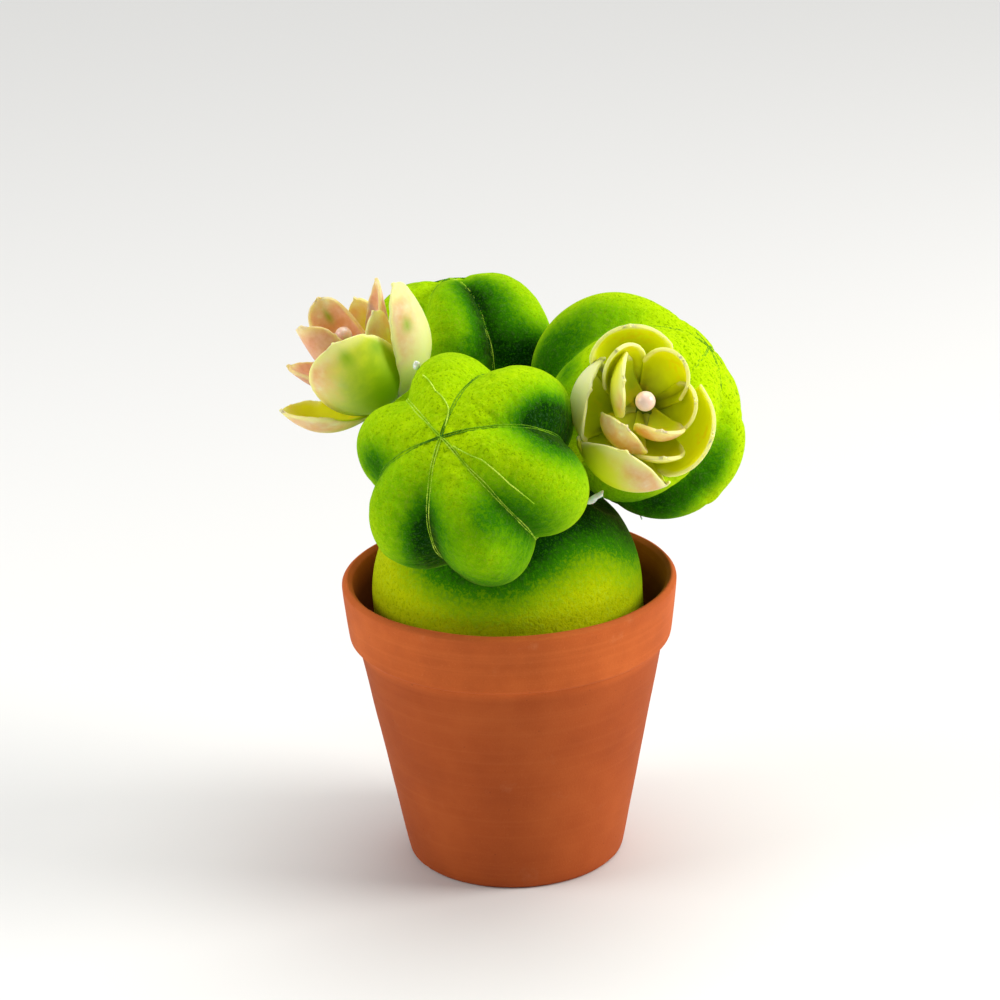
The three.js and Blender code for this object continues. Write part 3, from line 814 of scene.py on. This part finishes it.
grey_peg = peg_finish()
for side, ball in BALLS.items():
    from_pole = math.pi - math.radians(PEG_LEAN)
    turn = math.radians(PEG_TURNS[side])
    start = ball.point(from_pole, turn, PEG_START * MM)
    end = ball.point(from_pole, turn, PEG_END * MM)
    end += (from_pot(*MOUND_CENTRE) - end).normalized() * PEG_SUNK * MM
    way = end - start
    bpy.ops.object.select_all(action="DESELECT")
    bpy.ops.mesh.primitive_cylinder_add(
        vertices=32, radius=PEG_RADIUS * MM, depth=way.length, location=(start + end) / 2,
        rotation=way.to_track_quat("Z", "Y").to_euler(),
    )
    peg = bpy.context.object
    add_modifier(peg, "BEVEL", width=PEG_ROUNDING * MM, segments=2, angle_limit=math.radians(40))
    peg.data.shade_smooth()
    peg.data.materials.append(grey_peg)
    settle(peg, "peg_" + side)
    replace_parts(peg, "stem_" + side)

# Blooms: three rings of soft plastic petals, threaded one above the other on a pin whose head
# is a pearly bead. The petals are moulded thin and cupped, yellow-green inside, and dyed from
# green at the foot to cream and pink at the tip, with painted shade darkening the foot deep in
# the bloom. The left bloom's pin runs down into the mound.

PETAL_THICKNESS = 0.75
PETAL_BASE_WIDTH = 0.3
PETAL_WIDEST = 0.6
PETAL_NARROWEST = 0.1
PETAL_START = 0.8
PETAL_SHOULDER = 2.2
PETAL_POINT = 0.7
POINT_WIDTH = 2.2
POINT_SHARPNESS = 14
NICK_RATE = 34
NICK_DEPTH = 0.09
WAVE_RATE = 4
WAVE_HEIGHT = 0.5
SPOT_HEIGHT = 0.05
SPOT_WIDTH = 0.16
HUB_SPACING = 2.3
HUB_RADIUS = 2.6
HUB_ROUNDING = 0.3
PIN_RADIUS = 0.6
PETAL_LENGTHS = 48
PETAL_WIDTHS = 20
TIP_CROWDING = 1.35
INSIDE_EDGE = 2


class Bloom:
    """A bloom: the place of its hub, the way it opens, and its pin."""

    def __init__(self, hub, axis, pin_length, bead_height, bead_radius, bead_slip):
        self.hub = from_pot(*hub)
        self.along = Vector(axis).normalized()
        self.first, self.second = ways_aside(self.along)
        self.pin_length = pin_length * MM
        self.bead_height = bead_height * MM
        self.bead_radius = bead_radius * MM
        self.bead_slip = Vector(bead_slip) * MM

    def up(self, height):
        """A place on the bloom's own line."""
        return self.hub + self.along * height

    def sideways(self, turn):
        """The way out at a turn about the bloom's own line."""
        return self.first * math.cos(turn) + self.second * math.sin(turn)


# Each bloom: its hub, the way it opens, the length of its pin below the hub, the height and
# radius of its bead, and how far the bead sits off the bloom's own line.
BLOOMS = {
    "right": Bloom((28, -18.6, 106.7), (0.075, -0.864, 0.498), 10, 15.5, 2.05, (-0.85, 0, -1.3)),
    "left": Bloom((-24.9, -5.6, 105.5), (-0.471, 0.015, 0.882), 34, 17.5, 1.8, (0.2, 0, -0.7)),
}

# Each petal: turn about the bloom's line, reach and height of its tip, how far its belly swells
# out and at what height, half its width, the radius it is cupped to, how far it leans to one
# side, how pointed it is, and how pink, how pale, how green and how one-sided it is dyed.
PETALS = {
    ("right", "outer"): (
        (102.1, 15.2, 12.5, 15.4, 1.3, 9.7, 11.7, -7, 0.49, 0.0, 0.1, 0.1, 0.0),
        (171.8, 12.0, 13.2, 21.0, 1.7, 10.6, 10.5, -11, 0.36, -0.8, 1.0, 0.1, -0.6),
        (246.1, 12.6, 14.3, 28.0, 1.7, 12.6, 12.2, -7, 0.48, 0.4, 0.2, 0.15, 0.45),
        (326.3, 15.2, 13.8, 15.6, 0.5, 11.6, 12.5, 17, 0.48, 0.0, 0.0, 0.2, 0.0),
    ),
    ("right", "middle"): (
        (123.8, 11.1, 16.1, 11.6, 0.9, 6.2, 7.5, 6, 0.52, 0.0, 0.1, 0.3, 0.0),
        (46, 10.0, 15.5, 12.8, 1.2, 8.1, 5.6, -11, 0.46, 0.05, 0.2, 0.1, 0.0),
        (352.6, 9.6, 14.5, 11.0, 1.0, 5.8, 6.8, 9, 0.52, 0.2, 0.0, 0.3, 0.1),
        (281.6, 12.9, 13.4, 14.3, 0.9, 5.7, 8.9, -13, 0.48, 0.1, 0.3, 0.3, -0.2),
    ),
    ("right", "inner"): (
        (232.2, 8.2, 15.1, 16.5, 0.7, 7.4, 7.2, -7, 0.43, 0.85, 0.1, 0.0, 0.3),
        (153.5, 6.0, 17.2, 11.2, 0.4, 7.4, 9.0, 28, 0.4, 0.15, 0.3, 0.3, 0.35),
        (286.1, 7.8, 15.2, 11.0, 0.1, 6.2, 5.8, -30, 0.42, 0.9, 0.4, 0.0, 0.1),
    ),
    ("left", "outer"): (
        (268.9, 14.7, 19.6, 13.2, -0.9, 12.2, 10, 9, 0.44, 0.35, 0.3, 1.0, -0.35),
        (344.8, 15.6, 21.9, 20.3, 0.7, 9.6, 9.2, -8, 0.52, 0.5, 0.9, 0.2, -0.3),
        (192, 19.3, 9.9, 16.0, -2.6, 10.5, 11.5, 0, 0.52, 0.75, 0.3, 0.1, 0.2),
        (80, 14, 14, 15, 1, 9, 11, 0, 0.5, 0.5, 0.4, 0.3, 0.0),
    ),
    ("left", "middle"): (
        (165.8, 14.6, 15.6, 9.8, 1.7, 7.1, 6.4, 9, 0.56, 1.5, 0.2, 0.0, 0.0),
        (28.7, 12.3, 22.1, 6.6, 1.8, 6.4, 5.0, -8, 0.62, 1.4, 0.5, 0.0, 0.0),
        (66.9, 10.7, 19.9, 12.0, 1.0, 5.7, 8.0, -2, 0.51, 0.9, 0.0, 0.0, 0.0),
        (326.2, 10.5, 19.3, 9.0, 1.4, 5.6, 6.0, -4, 0.44, 0.6, 0.7, 0.0, 0.0),
    ),
    ("left", "inner"): (
        (207, 7.1, 23.2, 8.6, 1.3, 7.5, 5.0, 18, 0.3, 1.5, 0.2, 0.1, 0.0),
        (106, 7.5, 24.3, 8.6, 1.1, 6.3, 5.5, -18, 0.38, 1.3, 0.0, 0.2, 0.0),
        (340, 3.8, 14.5, 5, 1.4, 3.2, 6, 0, 0.5, 1.2, 0.1, 0.0, 0.0),
    ),
}

# Green spots on some petals, by turn: how far up, and how far to the side.
PETAL_SPOTS = {
    268.9: ((0.9, 0.1), (0.83, 0.72)),
    106: ((0.88, 0.0),),
    344.8: ((0.8, -0.5),),
}


def petal_width(share, pointed):
    """The petal's half width as a share of its widest, from its foot at 0 to its tip at 1."""
    if share < PETAL_WIDEST:
        grown = math.sin(share / PETAL_WIDEST * math.pi / 2)
        return PETAL_BASE_WIDTH + (1 - PETAL_BASE_WIDTH) * grown
    beyond = (share - PETAL_WIDEST) / (1 - PETAL_WIDEST)
    return max(PETAL_NARROWEST, (1 - beyond ** PETAL_SHOULDER) ** pointed)


def petal_piece(bloom, shape, foot_height):
    """One petal, from a grid that is arched along its middle line and cupped across it."""
    turn, reach, height, belly, belly_height, width, cup, lean, pointed, *dyes = shape
    outward = bloom.sideways(math.radians(turn))
    level = bloom.sideways(math.radians(turn + 90))
    foot = Vector((PETAL_START, foot_height))
    bend = Vector((belly, foot_height + belly_height))
    tip = Vector((reach, height))
    bpy.ops.object.select_all(action="DESELECT")
    bpy.ops.mesh.primitive_grid_add(
        x_subdivisions=PETAL_WIDTHS, y_subdivisions=PETAL_LENGTHS, size=2, calc_uvs=True
    )
    piece = bpy.context.object
    carried = ("along", "aside", "spot", "pink", "pale", "green", "side")
    values = {name: [] for name in carried}
    spots = PETAL_SPOTS.get(turn, ())
    for vertex in piece.data.vertices:
        aside, share = vertex.co.x, (vertex.co.y + 1) / 2
        share = 1 - (1 - share) ** TIP_CROWDING
        line = foot * (1 - share) ** 2 + bend * 2 * share * (1 - share) + tip * share ** 2
        point = PETAL_POINT * math.exp(-((aside * POINT_WIDTH) ** 2)) * share ** POINT_SHARPNESS
        line += (tip - bend).normalized() * point
        slope = ((bend - foot) * (1 - share) + (tip - bend) * share).normalized()
        inward = bloom.along * slope.x - outward * slope.y
        tilt = math.radians(lean) * share
        across = level * math.cos(tilt) + inward * math.sin(tilt)
        inward = inward * math.cos(tilt) - level * math.sin(tilt)
        nicks = noise.noise(Vector((share * NICK_RATE, turn, math.copysign(3, aside))))
        half = width * petal_width(share, pointed) * (1 + NICK_DEPTH * nicks * share ** 3)
        arc = aside * half / cup
        wave = noise.noise(Vector((share * WAVE_RATE, turn, aside)))
        wave *= WAVE_HEIGHT * aside * aside * math.sin(math.pi * share)
        place = outward * line.x + bloom.along * line.y + across * cup * math.sin(arc)
        place += inward * (cup * (1 - math.cos(arc)) + wave)
        vertex.co = bloom.hub + place * MM
        values["along"].append(share)
        values["aside"].append(abs(aside))
        spot = 0
        for up, over in spots:
            apart = ((share - up) / SPOT_HEIGHT) ** 2 + ((aside - over) / SPOT_WIDTH) ** 2
            spot += math.exp(-apart)
        values["spot"].append(spot)
        for name, dye in zip(("pink", "pale", "green"), dyes):
            values[name].append(dye)
        values["side"].append(dyes[3] * aside)
    for name, numbers in values.items():
        attribute = piece.data.attributes.new(name, "FLOAT", "POINT")
        attribute.data.foreach_set("value", numbers)
    add_modifier(piece, "SOLIDIFY", thickness=PETAL_THICKNESS * MM, offset=0)
    add_modifier(piece, "SUBSURF", levels=1, render_levels=1)
    mouth = bloom.up(height * MM)
    inside = piece.data.attributes.new("inside", "FLOAT", "POINT")
    for vertex in piece.data.vertices:
        towards = (mouth - vertex.co).normalized().dot(vertex.normal)
        inside.data[vertex.index].value = min(1, max(0, 0.5 + INSIDE_EDGE * towards))
    return piece


# Colours up each petal, outside and inside, from foot to tip; the dark foot is painted shade deep
# in the bloom, over the green dye.
OUTSIDE_DYE_AND_FOOT_SHADE = (
    (0.10, 0.16, 0.0002), (0.42, 0.54, 0.0004), (0.68, 0.78, 0.002), (0.90, 0.86, 0.06),
)
INSIDE_COLOUR_AND_FOOT_SHADE = (
    (0.30, 0.34, 0.0002), (0.80, 0.92, 0.0002), (0.92, 1.0, 0.0003), (1.0, 0.97, 0.006),
)
ORANGE_CLOUDS = (0.95, 0.62, 0.0003)
FRESH_GREEN = (0.22, 0.40, 0.0002)
CREAM = (0.90, 0.87, 0.40)
BLUSH_STEPS = (0.35, 0.6, 0.75)
SALMON = ((0.88, 0.42, 0.19), (0.94, 0.58, 0.34), (0.97, 0.78, 0.5))
ROSY = ((0.74, 0.29, 0.20), (0.88, 0.45, 0.36), (0.97, 0.72, 0.58))
PALE_RIM = (1.0, 0.97, 0.36)
SPOT_GREEN = (0.24, 0.44, 0.0005)


def petal_plastic():
    """Soft plastic: yellow-green inside, dyed green, cream and pink outside, with pale rims and
    painted shade at the foot.
    """
    material, wire, paint = new_finish(
        "petal_plastic", Subsurface_Weight=0.6, Subsurface_Scale=0.003,
        Subsurface_Radius=(1, 0.9, 0.15), Specular_IOR_Level=0.25,
    )
    place = wire.place()
    along, aside, inside, spot = (wire.attribute(n) for n in ("along", "aside", "inside", "spot"))
    pink, pale, green, side = (wire.attribute(n) for n in ("pink", "pale", "green", "side"))
    dye = wire.noise(place, 150, 3, 0.6)
    blots = wire.noise(place, 330, 3, 0.55)
    up = along + 0.3 * (dye - 0.5)
    outer = up.ramp(*zip((0.0, 0.4, 0.7, 1.0), OUTSIDE_DYE_AND_FOOT_SHADE))
    inner = up.ramp(*zip((0.0, 0.35, 0.7, 1.0), INSIDE_COLOUR_AND_FOOT_SHADE))
    colour = inside.over(outer, inner)
    colour = (dye.between(0.54, 0.7) * inside * 0.5).over(colour, ORANGE_CLOUDS)
    fresh = (green * (0.4 + 0.9 * blots) - 0.5 * side) * (1.25 - 0.9 * along)
    colour = (fresh.between(0.1, 0.7) * 0.8).over(colour, FRESH_GREEN)
    cream = (pale * (1 - inside) * (0.2 + 0.8 * along) + side).between(0.1, 0.9)
    colour = cream.over(colour, CREAM)
    blush = along + 0.2 * aside + side + 0.35 * (dye - 0.5) + 0.9 * pink - 0.3 * inside
    salmon = blots.ramp(*zip(BLUSH_STEPS, SALMON))
    rosy = blots.ramp(*zip(BLUSH_STEPS, ROSY))
    flushed = pink.between(1.05, 1.4).over(salmon, rosy)
    colour = (blush.between(1.1, 1.6) * 0.92).over(colour, flushed)
    margin = (aside * along.between(0.15, 0.6)).between(0.78, 0.98)
    margin = margin.maths("MAXIMUM", margin, along.between(0.9, 0.99))
    colour = (margin * (0.85 - 0.5 * pink.between(0.3, 1.2))).over(colour, PALE_RIM)
    colour = (spot * 0.85).over(colour, SPOT_GREEN)
    paint(
        Base_Color=colour,
        Roughness=0.45 + 0.25 * dye,
        Normal=wire.bump(dye + 0.5 * blots, 0.2, 0.4),
    )
    return material


soft_plastic = petal_plastic()


def petal_ring(side, layer, order):
    """The petals of one ring, with the thin hub that joins them."""
    bloom = BLOOMS[side]
    foot_height = order * HUB_SPACING
    petals = [petal_piece(bloom, shape, foot_height) for shape in PETALS[side, layer]]
    bpy.ops.object.select_all(action="DESELECT")
    bpy.ops.mesh.primitive_cylinder_add(
        vertices=32, radius=HUB_RADIUS * MM, depth=MM, location=bloom.up(foot_height * MM),
        rotation=bloom.along.to_track_quat("Z", "Y").to_euler(),
    )
    hub = bpy.context.object
    add_modifier(hub, "BEVEL", width=HUB_ROUNDING * MM, segments=3)
    for piece in petals:
        piece.select_set(True)
    hub.select_set(True)
    bpy.context.view_layer.objects.active = petals[0]
    bpy.ops.object.join()
    ring = bpy.context.object
    ring.data.shade_smooth()
    ring.data.materials.clear()
    ring.data.materials.append(soft_plastic)
    settle(ring, f"petals_{side}_{layer}")
    return ring


SLOTS = {"outer": "petal_green", "middle": "petal_olive", "inner": "petal_pink"}
for side in BLOOMS:
    for order, (layer, slot) in enumerate(SLOTS.items()):
        ring = petal_ring(side, layer, order)
        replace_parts(ring, f"flower_{side}_petals_{layer}")


def pearl_bead():
    """Pearly pink plastic."""
    material, wire, paint = new_finish(
        "pearl_bead", Roughness=0.3, Coat_Weight=0.3, Subsurface_Weight=0.2,
        Subsurface_Scale=0.0015,
    )
    cloud = wire.noise(wire.place(), 500, 2, 0.5)
    paint(Base_Color=cloud.ramp((0.3, (0.92, 0.60, 0.44)), (0.7, (0.98, 0.76, 0.60))))
    return material


bead_finish = pearl_bead()
for side, bloom in BLOOMS.items():
    turned = bloom.along.to_track_quat("Z", "Y").to_euler()
    bpy.ops.object.select_all(action="DESELECT")
    bpy.ops.mesh.primitive_uv_sphere_add(
        segments=48, ring_count=24, radius=bloom.bead_radius, rotation=turned,
        location=bloom.up(bloom.bead_height) + bloom.bead_slip,
    )
    bead = bpy.context.object
    middle = (bloom.bead_height - bloom.pin_length) / 2
    bpy.ops.mesh.primitive_cylinder_add(
        vertices=24, radius=PIN_RADIUS * MM, depth=bloom.bead_height + bloom.pin_length,
        location=bloom.up(middle), rotation=turned,
    )
    pin = bpy.context.object
    bead.select_set(True)
    bpy.context.view_layer.objects.active = pin
    bpy.ops.object.join()
    pin.data.shade_smooth()
    pin.data.materials.append(bead_finish)
    settle(pin, "pin_" + side)
    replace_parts(pin, f"flower_{side}_pin")

# Glue: small drops of clear hot glue, which squeezed out where the balls and blooms were stuck
# together and set there. The last is a thin string that hangs under the right ball.

# Each drop: its middle, its half length, its half thickness and the way it runs.
GLUE_DROPS = (
    ((17.7, -33.4, 93.2), 2.0, 0.75, (0.9, 0.1, 0.5)),
    ((-17.6, -24.6, 119.6), 0.9, 0.75, (0.6, 0, 0.8)),
    ((28.3, 0.5, 76.5), 1.7, 0.22, (0.25, 0, -1)),
)
LUMPINESS = 0.5


def clear_glue():
    """Clear set glue, milky inside and shiny."""
    material, wire, paint = new_finish(
        "clear_glue", Coat_Weight=0.6, Subsurface_Weight=0.4, Subsurface_Scale=0.001,
    )
    cloud = wire.noise(wire.place(), 900, 2, 0.5)
    paint(
        Base_Color=cloud.ramp((0.3, (0.60, 0.70, 0.58)), (0.7, (0.86, 0.90, 0.82))),
        Roughness=0.12 + 0.2 * cloud,
    )
    return material


glue_finish = clear_glue()
for number, (middle, length, thickness, way) in enumerate(GLUE_DROPS, 1):
    bpy.ops.object.select_all(action="DESELECT")
    bpy.ops.mesh.primitive_uv_sphere_add(
        segments=24, ring_count=16, radius=MM, location=from_pot(*middle),
        rotation=Vector(way).to_track_quat("Z", "Y").to_euler(),
        scale=(thickness, thickness, length),
    )
    drop = bpy.context.object
    for vertex in drop.data.vertices:
        lumps = noise.noise(vertex.co / MM + Vector((number, 0, 0)))
        vertex.co *= 1 + LUMPINESS * lumps
    drop.data.shade_smooth()
    drop.data.materials.append(glue_finish)
    settle(drop, f"glue_drop_{number}")
